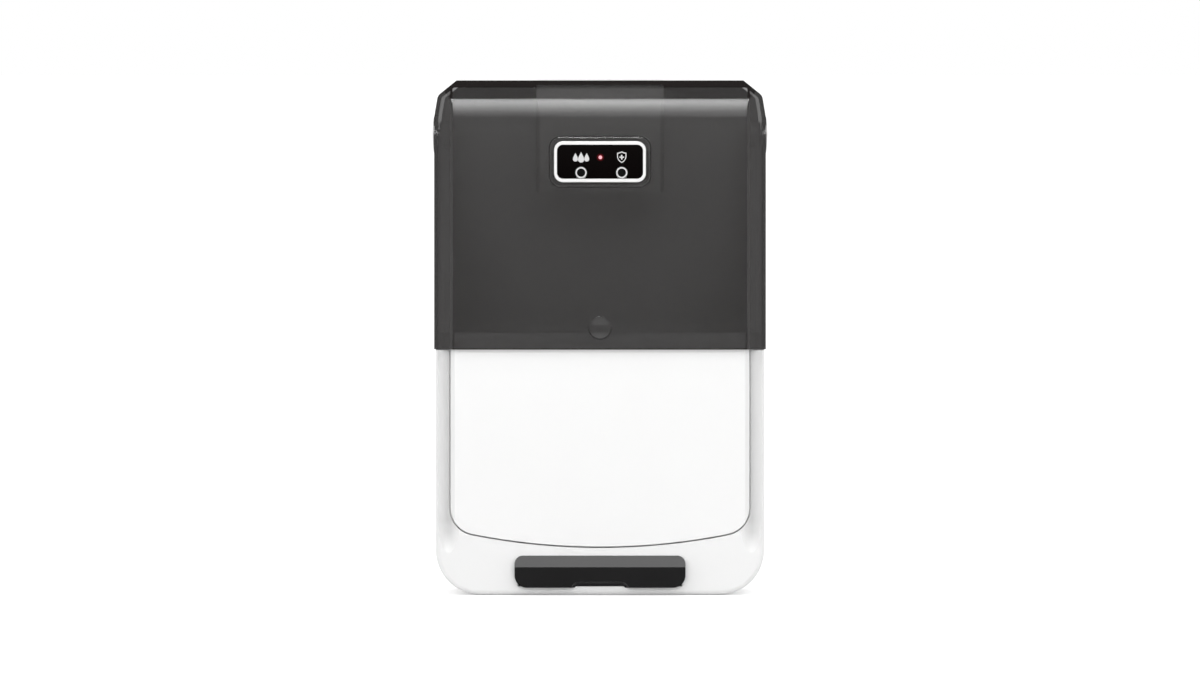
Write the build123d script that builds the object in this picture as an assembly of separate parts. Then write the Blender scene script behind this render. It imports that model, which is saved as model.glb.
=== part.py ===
from build123d import *
import math
import os

# Utensil sterilizer box: a white wall-hung housing with a smoked flip lid, a control and
# drying module inside the lid, a lift-out utensil box and a drip tray in the chin.
# Millimetres. X runs across the width, -Y is the front, +Y the wall side, +Z is up.
# The origin is the middle of the base, on the surface that the box stands on.

# ---- overall size ----
HEIGHT = 310.0
DEPTH = 125.0
LID_WIDTH = 200.0

# ---- lid ----
LID_WALL = 2.4
LID_HEIGHT = 162.0
SIDE_BEVEL = 11.3
TOP_BEVEL = 11.0
FACE_CROWN = 1.3
FACE_CROWN_HEIGHT = 10.5
TOP_CUT_WIDTH = 13.5
CORNER_CUT_HEIGHT = 9.1
CORNER_IN = 2.2
CORNER_RADIUS = 5.0
SIDE_LEAN_HEIGHT = 22.0
SIDE_LEAN_RADIUS = 30.0
BEZEL_RISE = 1.2
RIDGE_RADIUS = 0.9
THUMB_HEIGHT = 13.0
THUMB_RADIUS = 7.4
THUMB_RIM = 1.3
THUMB_RISE = 0.8
THUMB_DISH = 0.3

# ---- lid hinge ----
HINGE_DROP = 33.5
WALL_SWING_GAP = 0.6
PIN_RADIUS = 3.0
PIN_CLEARANCE = 0.04
BUSH_RADIUS = 5.0
BUSH_FLANGE_RADIUS = 6.6
BUSH_FLANGE = 0.8
HINGE_BOSS_RADIUS = 8.2
HINGE_BOSS_DEPTH = 4.0
EAR_RADIUS = 12.5
EAR_GAP = 0.7
PIN_HEAD_RADIUS = 5.4
PIN_HEAD = 1.0
CAP_RADIUS = 11.0
CAP_RISE = 1.6
CAP_EDGE = 0.8
WASHER_RADIUS = 7.6
WASHER_THICKNESS = 0.5

# ---- gaps ----
LID_GAP = 0.6
LID_SIDE_GAP = 0.8
LID_REST_GAP = 0.4
REAR_EDGE_GAP = 0.5
CROWN_GAP = 1.6
BOX_GAP = 0.8
PANEL_GAP = 0.9
SEAT_GAP = 0.3

# ---- housing ----
BODY_STEP = 1.0
SHELL_WALL = 2.4
PANEL_PROUD = 0.5
BASE_CORNER_RADIUS = 27.0
FRONT_EDGE_RADIUS = 3.0
CHIN_WALL = 5.4
BASE_PLATE = 2.4
FLOOR_Z = 28.6
FLOOR_THICKNESS = 2.8
COVE_RADIUS = 8.5
COVE_DEPTH = 4.0
COVE_INSET = 7.8
COVE_END_Z = 26.0
COVE_RUN_OUT = 18.0
CHEEK_SETBACK = 13.3
CHEEK_WEB_DROP = 40.5
CHEEK_WEB_LENGTH = 36.0
DRAIN_WINDOW_WIDTH = 28.0
DRAIN_WINDOW_RIM = 9.0
DRAIN_WINDOW_PITCH = 31.0
DRAIN_WINDOW_CORNER = 4.0
VENT_SLOT = (56.0, 3.0)
VENT_PITCH = 7.0
VENT_COUNT = 5
VENT_Z = 62.0

# ---- rear cover and wall bracket ----
COVER_THICKNESS = 2.0
COVER_MARGIN = 2.0
COVER_GAP = 0.2
BOSS_RADIUS = 3.6
COVER_SCREW_INSET = (14.0, 38.0, 18.0)
SCREW_SHANK_RADIUS = 1.4
SCREW_HOLE_RADIUS = 1.6
SCREW_PILOT_RADIUS = 1.4
SCREW_HEAD_RADIUS = 2.8
SCREW_HEAD = 1.2
SCREW_LENGTH = 11.0
BRACKET_WIDTH = 152.0
BRACKET_HEIGHT = 48.0
BRACKET_DROP = 58.5
BRACKET_PAN_RIM = 4.0
BRACKET_PAN_GAP = 1.0
BRACKET_THICKNESS = 1.5
BRACKET_CORNER = 6.0
BRACKET_HOLE_PITCH = 112.0
BRACKET_HOLE_RADIUS = 2.3
HOOK_X = 28.0
HOOK_WIDTH = 16.0
HOOK_THICKNESS = 2.0
HOOK_LIP = 5.0
HOOK_ENTRY = 2.0

# ---- utensil box ----
BOX_LAP = 10.0
BOX_WALL = 2.2
PANEL_MARGIN = 9.0
PANEL_LAP = 0.6
PANEL_CORNER_RADIUS = 16.0
PANEL_ARC_RISE = 10.4
BOX_LEDGE = 4.0
DRAIN_PLATE = 1.6
DRAIN_PLATE_GAP = 0.3
DRAIN_RIM = (8.0, 4.0)
DRAIN_WEB = (4.2, 5.0)
DRAIN_SLOT_COUNT = (22, 3)
DIVIDER_X = 41.0
DIVIDER_THICKNESS = 1.8
DIVIDER_DROP = 10.0
DIVIDER_CORNER = 6.0
GUIDE_RIB = 2.0

# ---- drip tray ----
TRAY_FRONT_LAP = 2.5
TRAY_FRONT_Z = (4.4, 23.7)
TRAY_FRONT_RISE = 3.5
TRAY_LIP_HEIGHT = 6.9
TRAY_TOP_CORNER = 5.0
TRAY_BOTTOM_CORNER = 7.5
TRAY_WIDTH = 98.0
TRAY_BOTTOM_Z = 5.4
TRAY_TOP_Z = 21.5
TRAY_WALL = 2.0
TRAY_CORNER = 5.0
TRAY_GAP = 0.6
GUIDE_WALL = 2.0
RAIL_WIDTH = 5.0
RAIL_INSET = 9.0
SCOOP_WIDTH = 36.0
SCOOP_RADIUS = 6.0
SCOOP_DROP = 1.9
SCOOP_OUT = 1.6

# ---- control module in the lid ----
MODULE_WIDTH = 76.6
MODULE_DEPTH = 53.5
MODULE_HEIGHT = 67.0
MODULE_WALL = 1.8
MODULE_BASE = 2.2
MODULE_FIT = 0.1
MODULE_CORNER = 3.0
MODULE_BOSS = (3.2, 12.0)
MODULE_SCREW = (1.0, 2.1, 1.0, 8.0)
PANEL_DROP = 48.8
BEZEL_SIZE = (61.0, 30.5)
BEZEL_CORNER = 7.0
RING_SIZE = (55.7, 25.0)
RING_CORNER = 5.6
RING_PROUD = 1.0
TOUCH_SIZE = (51.6, 20.3)
TOUCH_CORNER = 3.5
TOUCH_THICKNESS = 2.0
TOUCH_SUNK = 1.1
TOUCH_LEDGE = 1.0
TRIM_GAP = 0.15
KEY_X = (-11.4, 13.1)
KEY_DROP = 6.6
KEY_RADIUS = 3.7
KEY_GAP = 0.3
KEY_PROUD = 0.4
KEY_STEM_RADIUS = 1.6
KEY_TRAVEL = 0.6
LENS_X = 0.2
LENS_RAISE = 2.6
LENS_RADIUS = 1.1
LENS_GAP = 0.05
BOARD_THICKNESS = 1.6
BOARD_SIZE = (68.0, 28.0)
BOARD_PEG = (1.5, 31.6, 11.6)
BOARD_STANDOFF = 1.7
BOARD_GAP = 0.5
SWITCH_SIZE = 6.0
SWITCH_DEPTH = 2.6
CHIP_X = (-20.0, -4.0, 16.0)
CHIP_SIZE = (9.0, 2.2, 8.0)

# ---- fan, lamp, battery and port ----
FAN_SIZE = 30.0
FAN_HEIGHT = 10.0
FAN_X = 14.8
FAN_BORE_RADIUS = 14.0
FAN_HUB_RADIUS = 7.5
FAN_HUB_HEIGHT = 7.4
FAN_TIP_GAP = 0.5
FAN_BLADES = 7
FAN_BLADE = 1.0
FAN_BLADE_ANGLE = 38.0
FAN_ARM = (2.4, 1.2)
FAN_PIN = (1.5, 6.0)
FAN_PIN_CLEARANCE = 0.05
FAN_HOLE_PITCH = 24.0
FAN_CORNER = 2.5
FAN_SCREW = (1.2, 2.0, 1.0)
GRILLE_RING = 3.0
GRILLE_WEB = 1.6
LAMP_BOARD_SIZE = (27.0, 38.0)
LAMP_X = -16.9
LAMP_WINDOW_SIZE = (20.0, 30.0)
LAMP_WINDOW = 1.2
LAMP_WINDOW_RIM = 2.0
LAMP_LED = (3.5, 1.4)
LAMP_LED_PITCH = 9.5
LAMP_STANDOFF = 3.6
LAMP_POST = (1.2, 2.0)
CELL_RADIUS = 9.1
CELL_LENGTH = 65.0
CELL_DROP = 19.0
CELL_POLE = (3.0, 1.2)
HOLDER_WALL = 1.6
PORT_SIZE = (9.0, 3.2)
PORT_DEPTH = 7.0
PORT_WALL = 0.35
PORT_SUNK = 0.3
PORT_TONGUE = (6.6, 0.7)
PORT_INSET = 3.0

# ---- places that follow from the sizes ----
WALL_Y = DEPTH / 2
LID_FRONT_Y = -DEPTH / 2 + BEZEL_RISE
LID_HALF = LID_WIDTH / 2
BODY_HALF = LID_HALF - BODY_STEP
FACE_HALF = LID_HALF - SIDE_BEVEL
LID_INSIDE_Y = LID_FRONT_Y + LID_WALL
LID_BOTTOM_Z = HEIGHT - LID_HEIGHT
THUMB_Z = LID_BOTTOM_Z + THUMB_HEIGHT
PIVOT_Z = HEIGHT - HINGE_DROP
PIVOT_Y = WALL_Y - HINGE_DROP - WALL_SWING_GAP
LID_REAR_Y = PIVOT_Y - REAR_EDGE_GAP
SHOULDER_Z = LID_BOTTOM_Z - LID_REST_GAP
PILLAR_TOP_Z = PIVOT_Z - REAR_EDGE_GAP
BOX_FRONT_Y = LID_INSIDE_Y + LID_GAP
BODY_FRONT_Y = BOX_FRONT_Y + PANEL_PROUD
COLLAR_HALF = LID_HALF - LID_WALL - LID_SIDE_GAP
BAY_HALF = COLLAR_HALF - SHELL_WALL
PARTITION_Y = PIVOT_Y - 3.0
PILLAR_INSIDE_Y = PARTITION_Y + SHELL_WALL
FLOOR_TOP_Z = FLOOR_Z + FLOOR_THICKNESS
CHIN_INSIDE_Y = BODY_FRONT_Y + CHIN_WALL
COVER_INSIDE_Y = WALL_Y - COVER_THICKNESS
BRACKET_Z = PIVOT_Z - BRACKET_DROP
BOX_TOP_Z = LID_BOTTOM_Z + BOX_LAP
BOX_HALF = BAY_HALF - BOX_GAP
BOX_REAR_Y = PARTITION_Y - BOX_GAP
BOX_BOTTOM_Z = FLOOR_TOP_Z + SEAT_GAP
TUB_FRONT_Y = CHIN_INSIDE_Y + BOX_GAP
LEDGE_Z = BOX_BOTTOM_Z + BOX_WALL
PANEL_HALF = BODY_HALF - PANEL_MARGIN
PANEL_BOTTOM_Z = FLOOR_Z + PANEL_LAP
DIVIDER_TOP_Z = BOX_TOP_Z - DIVIDER_DROP
TRAY_HALF = TRAY_WIDTH / 2
TRAY_FRONT_Y = BODY_FRONT_Y - TRAY_FRONT_RISE
MODULE_FRONT_Y = LID_INSIDE_Y + MODULE_FIT
MODULE_REAR_Y = MODULE_FRONT_Y + MODULE_DEPTH
MODULE_HALF = MODULE_WIDTH / 2
MODULE_BOTTOM_Z = HEIGHT - MODULE_HEIGHT
PANEL_CENTRE_Z = HEIGHT - PANEL_DROP
KEY_Z = PANEL_CENTRE_Z - KEY_DROP
LENS_Z = PANEL_CENTRE_Z + LENS_RAISE
CELL_Z = HEIGHT - CELL_DROP
MODULE_FLOOR_Z = MODULE_BOTTOM_Z + MODULE_BASE
MODULE_MID_Y = (MODULE_FRONT_Y + MODULE_REAR_Y) / 2
BOARD_Y = MODULE_FRONT_Y + MODULE_WALL + BOARD_STANDOFF
REACH = 400.0


# ---- helpers ----
def block(x, y, z):
    """A box between two X, two Y and two Z values."""
    size = Box(x[1] - x[0], y[1] - y[0], z[1] - z[0])
    return Pos(sum(x) / 2, sum(y) / 2, sum(z) / 2) * size


def rod_x(radius, x, y, z):
    """A cylinder along X between two X values."""
    return Pos(sum(x) / 2, y, z) * Rot(0, 90, 0) * Cylinder(radius, x[1] - x[0])


def rod_y(radius, y, x, z):
    """A cylinder along Y between two Y values."""
    return Pos(x, sum(y) / 2, z) * Rot(90, 0, 0) * Cylinder(radius, y[1] - y[0])


def rod_z(radius, z, x, y):
    """A cylinder along Z between two Z values."""
    return Pos(x, y, sum(z) / 2) * Cylinder(radius, z[1] - z[0])


def along_y(sketch, y):
    """An X-Z outline made solid between two Y values."""
    back = Plane(origin=(0, y[1], 0), x_dir=(1, 0, 0), z_dir=(0, -1, 0))
    return extrude(back * sketch, amount=y[1] - y[0])


def along_x(sketch, x):
    """A Y-Z outline made solid between two X values."""
    side = Plane(origin=(x[0], 0, 0), x_dir=(0, 1, 0), z_dir=(1, 0, 0))
    return extrude(side * sketch, amount=x[1] - x[0])


def along_z(sketch, z):
    """An X-Y outline made solid between two Z values."""
    return extrude(Plane.XY.offset(z[0]) * sketch, amount=z[1] - z[0])


def grown(sketch, amount):
    """An outline moved outwards, or inwards where the amount is negative."""
    if amount == 0:
        return sketch
    return offset(sketch, amount=amount, kind=Kind.INTERSECTION)


def mirrored(points):
    """A closed outline from its right half, given from the bottom up."""
    return Polygon(*points, *[(-x, y) for x, y in reversed(points)], align=None)


def both_sides(solid):
    """A solid and its mirror image across the middle plane."""
    return solid + mirror(solid, about=Plane.YZ)


def rounded_plate(size, corner, x, z, y):
    """A rounded rectangle across X and Z, made solid between two Y values."""
    return along_y(Pos(x, z) * RectangleRounded(size[0], size[1], corner), y)


def union(solids):
    """Several solids joined into one."""
    return Part() + list(solids)


def spread(outline, spots):
    """One outline repeated at every spot."""
    return Sketch() + [spot * outline for spot in spots]


# ---- outlines ----
def lid_front_outline(inset, low):
    """The lid seen from the front: flat top, cut corners and sides that lean in at the top."""
    lean_x = LID_HALF - CORNER_IN
    corner_z = HEIGHT - CORNER_CUT_HEIGHT
    outline = mirrored([
        (LID_HALF, low),
        (LID_HALF, HEIGHT - SIDE_LEAN_HEIGHT),
        (lean_x, corner_z),
        (LID_HALF - TOP_CUT_WIDTH, HEIGHT),
    ])
    corners = [v for v in outline.vertices() if abs(v.Y - corner_z) < 0.01]
    outline = fillet(corners, CORNER_RADIUS)
    leans = [v for v in outline.vertices() if abs(v.Y - HEIGHT + SIDE_LEAN_HEIGHT) < 0.01]
    return grown(fillet(leans, SIDE_LEAN_RADIUS), -inset)


def lid_plan_outline(inset):
    """The lid seen from above: a flat face between two bevelled edges."""
    bevel_y = LID_FRONT_Y + LID_HALF - FACE_HALF
    outline = mirrored([(FACE_HALF, LID_FRONT_Y), (LID_HALF, bevel_y), (LID_HALF, REACH)])
    return grown(outline, -inset)


def lid_side_outline(inset, low):
    """The lid seen from the side: the front curves back a little, up to the top bevel."""
    start = (LID_FRONT_Y, HEIGHT - TOP_BEVEL - FACE_CROWN_HEIGHT)
    ridge = (LID_FRONT_Y + FACE_CROWN, HEIGHT - TOP_BEVEL)
    curve = TangentArc(start, ridge, tangent=(0, 1))
    corners = [(LID_FRONT_Y + TOP_BEVEL, HEIGHT), (REACH, HEIGHT), (REACH, low), (LID_FRONT_Y, low)]
    return grown(make_face([curve, Polyline(ridge, *corners, start)]), -inset)


def lid_block(inset, low, rear):
    """The lid's form as a solid block, drawn in by the inset, between its low and rear ends."""
    under = low - inset
    form = along_y(lid_front_outline(inset, under), (-REACH, REACH))
    form &= along_z(lid_plan_outline(inset), (low, HEIGHT))
    form &= along_x(lid_side_outline(inset, under), (-REACH, REACH))
    return form & block((-REACH, REACH), (-REACH, rear), (low, HEIGHT))


def body_outline(top):
    """The housing seen from the front, with its round lower corners."""
    outline = mirrored([(BODY_HALF, 0), (BODY_HALF, top)])
    return fillet(outline.vertices().group_by(Axis.Y)[0], BASE_CORNER_RADIUS)


def panel_outline():
    """The U-shaped front panel of the utensil box."""
    sides = mirrored([(PANEL_HALF, 0), (PANEL_HALF, BOX_TOP_Z)])
    radius = (PANEL_HALF**2 + PANEL_ARC_RISE**2) / (2 * PANEL_ARC_RISE)
    arc = Pos(0, PANEL_BOTTOM_Z + radius) * Circle(radius)
    outline = sides & arc
    return fillet(outline.vertices().group_by(Axis.Y)[0], PANEL_CORNER_RADIUS)


def box_plan_outline(rear):
    """The utensil box seen from above: its front corners run inside the lid's bevels."""
    bevel = FACE_HALF - LID_FRONT_Y - (LID_WALL + LID_GAP) * math.sqrt(2)
    return mirrored([
        (bevel + BOX_FRONT_Y, BOX_FRONT_Y),
        (BOX_HALF, BOX_HALF - bevel),
        (BOX_HALF, rear),
    ])


# ---- housing ----
def housing_outer():
    """The housing's outside: the body, the rear pillar and the partition in front of it."""
    body = along_y(body_outline(SHOULDER_Z), (BODY_FRONT_Y, WALL_Y))
    front = body.faces().sort_by(Axis.Y)[0]
    rim = [e for e in front.edges() if e.center().Z < SHOULDER_Z - 1]
    body = fillet(rim, FRONT_EDGE_RADIUS)
    body += along_y(body_outline(PILLAR_TOP_Z), (PIVOT_Y, WALL_Y))
    return body + block((-BAY_HALF, BAY_HALF), (PARTITION_Y, PIVOT_Y), (FLOOR_Z, PILLAR_TOP_Z))


def bay():
    """The space that the utensil box drops into, with its U-shaped front."""
    room = along_z(grown(box_plan_outline(BOX_REAR_Y), BOX_GAP), (FLOOR_TOP_Z, HEIGHT))
    room &= block((-REACH, REACH), (CHIN_INSIDE_Y, REACH), (0, REACH))
    opening = along_y(grown(panel_outline(), PANEL_GAP), (-REACH, CHIN_INSIDE_Y + 1))
    return room + opening


def base_hollow():
    """The space under the floor, open at the back."""
    room = along_y(grown(body_outline(SHOULDER_Z), -BASE_PLATE), (CHIN_INSIDE_Y, COVER_INSIDE_Y))
    return room & block((-REACH, REACH), (-REACH, REACH), (0, FLOOR_Z))


def tray_mouth():
    """The opening in the chin that the tray slides through."""
    half = TRAY_HALF + TRAY_GAP
    height = (TRAY_BOTTOM_Z - SEAT_GAP, TRAY_TOP_Z + TRAY_GAP)
    return block((-half, half), (-REACH, CHIN_INSIDE_Y + 1), height)


def pillar_hollow():
    """The space inside the rear pillar, open at the back."""
    outline = grown(body_outline(PILLAR_TOP_Z), BAY_HALF - BODY_HALF)
    return along_y(outline, (PILLAR_INSIDE_Y, WALL_Y))


def cover_rebate():
    """The step that the rear cover lies in."""
    outline = grown(body_outline(PILLAR_TOP_Z), -COVER_MARGIN)
    return along_y(outline, (COVER_INSIDE_Y, WALL_Y))


def coves():
    """The two hollow grooves beside the front panel, which run out to the front at their lower ends."""
    x = BODY_HALF - COVE_INSET
    y = BODY_FRONT_Y - COVE_RADIUS + COVE_DEPTH
    bend = Pos(x, y, COVE_END_Z + COVE_RUN_OUT)
    lean = math.degrees(math.atan2(COVE_DEPTH, COVE_RUN_OUT))
    below = (Align.CENTER, Align.CENTER, Align.MAX)
    groove = rod_z(COVE_RADIUS, (COVE_END_Z + COVE_RUN_OUT, SHOULDER_Z + COVE_RADIUS), x, y)
    groove += bend * Sphere(COVE_RADIUS)
    groove += bend * Rot(-lean, 0, 0) * Cylinder(COVE_RADIUS, 2 * COVE_RUN_OUT, align=below)
    return both_sides(groove)


def drain_windows():
    """Three openings in the floor above the tray."""
    y = (CHIN_INSIDE_Y + PARTITION_Y) / 2
    length = PARTITION_Y - CHIN_INSIDE_Y - 2 * DRAIN_WINDOW_RIM
    window = RectangleRounded(DRAIN_WINDOW_WIDTH, length, DRAIN_WINDOW_CORNER)
    plan = Pos(0, y) * spread(window, GridLocations(DRAIN_WINDOW_PITCH, 1, 3, 1))
    return along_z(plan, (FLOOR_Z - 1, FLOOR_TOP_Z + 1))


def vent_slots(z, y):
    """A stack of level air slots between two Y values."""
    spots = GridLocations(1, VENT_PITCH, 1, VENT_COUNT)
    face = Pos(0, z) * spread(SlotOverall(*VENT_SLOT), spots)
    return along_y(face, y)


def cover_screw_spots():
    """Where the rear cover's screws go, as X and Z."""
    aside, low, under = COVER_SCREW_INSET
    heights = (low, (low + PILLAR_TOP_Z - under) / 2, PILLAR_TOP_Z - under)
    return [(side * (BODY_HALF - aside), z) for side in (-1, 1) for z in heights]


def hinge_pockets():
    """Round pockets in the pillar's sides, for the hinge brackets' bosses and the lid's ears."""
    boss_x = BAY_HALF - HINGE_BOSS_DEPTH - BUSH_FLANGE - COVER_GAP
    pocket = rod_x(HINGE_BOSS_RADIUS + COVER_GAP, (boss_x, REACH), PIVOT_Y, PIVOT_Z)
    pocket += rod_x(EAR_RADIUS + EAR_GAP, (COLLAR_HALF, REACH), PIVOT_Y, PIVOT_Z)
    return both_sides(pocket)


def housing():
    body = housing_outer() - bay() - base_hollow() - tray_mouth()
    body -= pillar_hollow() + cover_rebate()
    body -= coves()
    body -= drain_windows() + vent_slots(VENT_Z, (PARTITION_Y - 1, PILLAR_INSIDE_Y + 1))
    for x, z in cover_screw_spots():
        body += rod_y(BOSS_RADIUS, (PILLAR_INSIDE_Y - SHELL_WALL / 2, COVER_INSIDE_Y), x, z)
    for x, z in cover_screw_spots():
        body -= rod_y(SCREW_PILOT_RADIUS, (COVER_INSIDE_Y - SCREW_LENGTH, COVER_INSIDE_Y + 1), x, z)
    return body - hinge_pockets()


def hinge_bracket():
    """The right-hand side wall inside the lid, which rises to the hinge at the rear."""
    front_y = BOX_FRONT_Y + CHEEK_SETBACK
    boss_front_y = PIVOT_Y - HINGE_BOSS_RADIUS
    web_z = PIVOT_Z - CHEEK_WEB_DROP
    side = Polygon(
        (front_y, SHOULDER_Z),
        (PIVOT_Y, SHOULDER_Z),
        (PIVOT_Y, PIVOT_Z),
        (boss_front_y, PIVOT_Z),
        (boss_front_y, web_z),
        (boss_front_y - CHEEK_WEB_LENGTH, BOX_TOP_Z),
        (front_y, BOX_TOP_Z),
        align=None,
    )
    bracket = along_x(side, (BAY_HALF, COLLAR_HALF))
    boss_x = BAY_HALF - HINGE_BOSS_DEPTH
    bracket += rod_x(HINGE_BOSS_RADIUS, (boss_x, COLLAR_HALF), PIVOT_Y, PIVOT_Z)
    return bracket - rod_x(BUSH_RADIUS, (boss_x - 1, REACH), PIVOT_Y, PIVOT_Z)


def cowl_form(inset):
    """A quarter turn of the lid's outline about the hinge, with a flat front, on the pillar."""
    above = lid_front_outline(inset, PIVOT_Z - inset - HINGE_BOSS_RADIUS)
    above &= Pos(0, PIVOT_Z + REACH / 2) * Rectangle(REACH, REACH)
    stand = Plane(origin=(0, PIVOT_Y, 0), x_dir=(1, 0, 0), z_dir=(0, -1, 0))
    turned = revolve(stand * above, Axis((0, PIVOT_Y, PIVOT_Z), (-1, 0, 0)), 90)
    form = turned + along_y(above, (PARTITION_Y, PIVOT_Y))
    foot = form.faces().sort_by(Axis.Z)[0]
    return form + extrude(foot, amount=PIVOT_Z - PILLAR_TOP_Z, dir=(0, 0, -1))


def hinge_cowl():
    """The round cover on the pillar, which the lid's top turns over."""
    outside = cowl_form(LID_WALL + CROWN_GAP)
    inside = cowl_form(LID_WALL + CROWN_GAP + SHELL_WALL)
    inside &= block((-REACH, REACH), (PILLAR_INSIDE_Y, REACH), (PILLAR_TOP_Z, REACH))
    return outside - inside - hinge_pockets()


def tray_guide():
    """The channel under the floor that the tray slides in, with its rails and rear stop."""
    inner = TRAY_HALF + TRAY_GAP
    outer = inner + GUIDE_WALL
    height = (BASE_PLATE, FLOOR_Z)
    guide = block((-outer, outer), (CHIN_INSIDE_Y, PILLAR_INSIDE_Y), height)
    guide -= block((-inner, inner), (CHIN_INSIDE_Y - 1, PARTITION_Y), height)
    rail_x = TRAY_HALF - RAIL_INSET
    rail = block(
        (rail_x - RAIL_WIDTH / 2, rail_x + RAIL_WIDTH / 2),
        (CHIN_INSIDE_Y, PARTITION_Y + GUIDE_WALL / 2),
        (BASE_PLATE, TRAY_BOTTOM_Z - SEAT_GAP),
    )
    return guide + both_sides(rail)


# ---- rear cover and wall bracket ----
def bracket_outline(margin):
    """The wall bracket's outline, grown by a margin."""
    size = (BRACKET_WIDTH + 2 * margin, BRACKET_HEIGHT + 2 * margin)
    return Pos(0, BRACKET_Z) * RectangleRounded(*size, BRACKET_CORNER + margin)


def hook_slot():
    """The slots that the bracket's hooks pass through; their upper edges hang on the hooks."""
    half = HOOK_WIDTH / 2 + SEAT_GAP
    top = BRACKET_Z + HOOK_THICKNESS / 2
    height = (top - HOOK_LIP - HOOK_THICKNESS - HOOK_ENTRY, top)
    return both_sides(block((HOOK_X - half, HOOK_X + half), (0, REACH), height))


def pan_floor_y():
    """The rear face of the sunk part of the cover that the bracket lies in."""
    return WALL_Y - BRACKET_THICKNESS - SEAT_GAP


def rear_cover():
    outline = grown(body_outline(PILLAR_TOP_Z), -COVER_MARGIN - COVER_GAP)
    cover = along_y(outline, (COVER_INSIDE_Y, WALL_Y))
    cover += along_y(bracket_outline(BRACKET_PAN_RIM), (pan_floor_y() - COVER_THICKNESS, WALL_Y))
    cover -= along_y(bracket_outline(BRACKET_PAN_GAP), (pan_floor_y(), WALL_Y + 1))
    cover -= hook_slot()
    cover -= vent_slots(VENT_Z, (COVER_INSIDE_Y - 1, WALL_Y + 1))
    for x, z in cover_screw_spots():
        cover -= rod_y(SCREW_HOLE_RADIUS, (COVER_INSIDE_Y - 1, WALL_Y + 1), x, z)
        cover -= rod_y(SCREW_HEAD_RADIUS + COVER_GAP, (WALL_Y - SCREW_HEAD, WALL_Y + 1), x, z)
    return cover


def wall_bracket():
    """A steel plate that is screwed to the wall, with two upturned hooks."""
    plate = along_y(bracket_outline(0), (WALL_Y - BRACKET_THICKNESS, WALL_Y))
    tongue_y = pan_floor_y() - COVER_THICKNESS - SEAT_GAP - HOOK_THICKNESS
    x = (HOOK_X - HOOK_WIDTH / 2, HOOK_X + HOOK_WIDTH / 2)
    top = BRACKET_Z + HOOK_THICKNESS / 2
    hook = block(x, (tongue_y, WALL_Y), (top - HOOK_THICKNESS, top))
    hook += block(x, (tongue_y, tongue_y + HOOK_THICKNESS), (top - HOOK_THICKNESS, top + HOOK_LIP))
    plate += both_sides(hook)
    hole = rod_y(BRACKET_HOLE_RADIUS, (0, REACH), BRACKET_HOLE_PITCH / 2, BRACKET_Z)
    return plate - both_sides(hole)


def screw(length, shank_radius, head_radius, head):
    """A pan-head screw that stands on the origin, head up, with a cross recess."""
    body = rod_z(shank_radius, (-length, 0), 0, 0) + rod_z(head_radius, (0, head), 0, 0)
    arm = head_radius * 1.1
    for turn in (0, 90):
        recess = Box(arm, head_radius * 0.25, head)
        body -= Pos(0, 0, head) * Rot(0, 0, turn) * recess
    return body


def rear_cover_screws():
    one = screw(SCREW_LENGTH, SCREW_SHANK_RADIUS, SCREW_HEAD_RADIUS, SCREW_HEAD)
    seat_y = WALL_Y - SCREW_HEAD
    return Compound([Pos(x, seat_y, z) * Rot(-90, 0, 0) * one for x, z in cover_screw_spots()])


# ---- lid ----
def lid_shell():
    outer = lid_block(0, LID_BOTTOM_Z, LID_REAR_Y)
    outer = soften_ridges(outer)
    inner = lid_block(LID_WALL, LID_BOTTOM_Z - 1, REACH / 2)
    ears = both_sides(rod_x(EAR_RADIUS, (LID_HALF - LID_WALL, LID_HALF), PIVOT_Y, PIVOT_Z))
    shell = outer - inner + ears
    bezel_depth = (LID_FRONT_Y - BEZEL_RISE, LID_INSIDE_Y)
    shell += rounded_plate(BEZEL_SIZE, BEZEL_CORNER, 0, PANEL_CENTRE_Z, bezel_depth)
    face = shell.faces().sort_by(Axis.Y)[0]
    shell = fillet(face.outer_wire().edges(), BEZEL_RISE * 0.8)
    window = (RING_SIZE[0] + 2 * TRIM_GAP, RING_SIZE[1] + 2 * TRIM_GAP)
    shell -= rounded_plate(window, RING_CORNER + TRIM_GAP, 0, PANEL_CENTRE_Z, (-REACH, 0))
    shell += thumb_boss()
    dish_radius = (THUMB_RADIUS - THUMB_RIM) ** 2 / (2 * THUMB_DISH) + THUMB_DISH / 2
    dish_y = LID_FRONT_Y - THUMB_RISE + THUMB_DISH - dish_radius
    shell -= Pos(0, dish_y, THUMB_Z) * Sphere(dish_radius)
    pin_hole = rod_x(PIN_RADIUS + PIN_CLEARANCE, (COLLAR_HALF, REACH), PIVOT_Y, PIVOT_Z)
    head_hole = rod_x(PIN_HEAD_RADIUS + COVER_GAP, (LID_HALF - PIN_HEAD, REACH), PIVOT_Y, PIVOT_Z)
    return shell - both_sides(pin_hole + head_hole)


def soften_ridges(outer):
    """The lid with a small radius on the long ridges round its front face."""
    ridge_z = HEIGHT - TOP_BEVEL
    near = [e for e in outer.edges() if max(v.Y for v in e.vertices()) < LID_FRONT_Y + FACE_CROWN + 0.1]
    upright = [e for e in near if abs(e.center().X) > FACE_HALF - 1]
    top = [e for e in near if min(v.Z for v in e.vertices()) > ridge_z - 0.1]
    return fillet(upright + top, RIDGE_RADIUS)


def thumb_boss():
    """The round raised spot that a thumb lifts the lid by."""
    boss = rod_y(THUMB_RADIUS, (LID_FRONT_Y - THUMB_RISE, LID_INSIDE_Y), 0, THUMB_Z)
    front = boss.faces().sort_by(Axis.Y)[0]
    return fillet(front.edges(), THUMB_RISE * 0.7)


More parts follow.
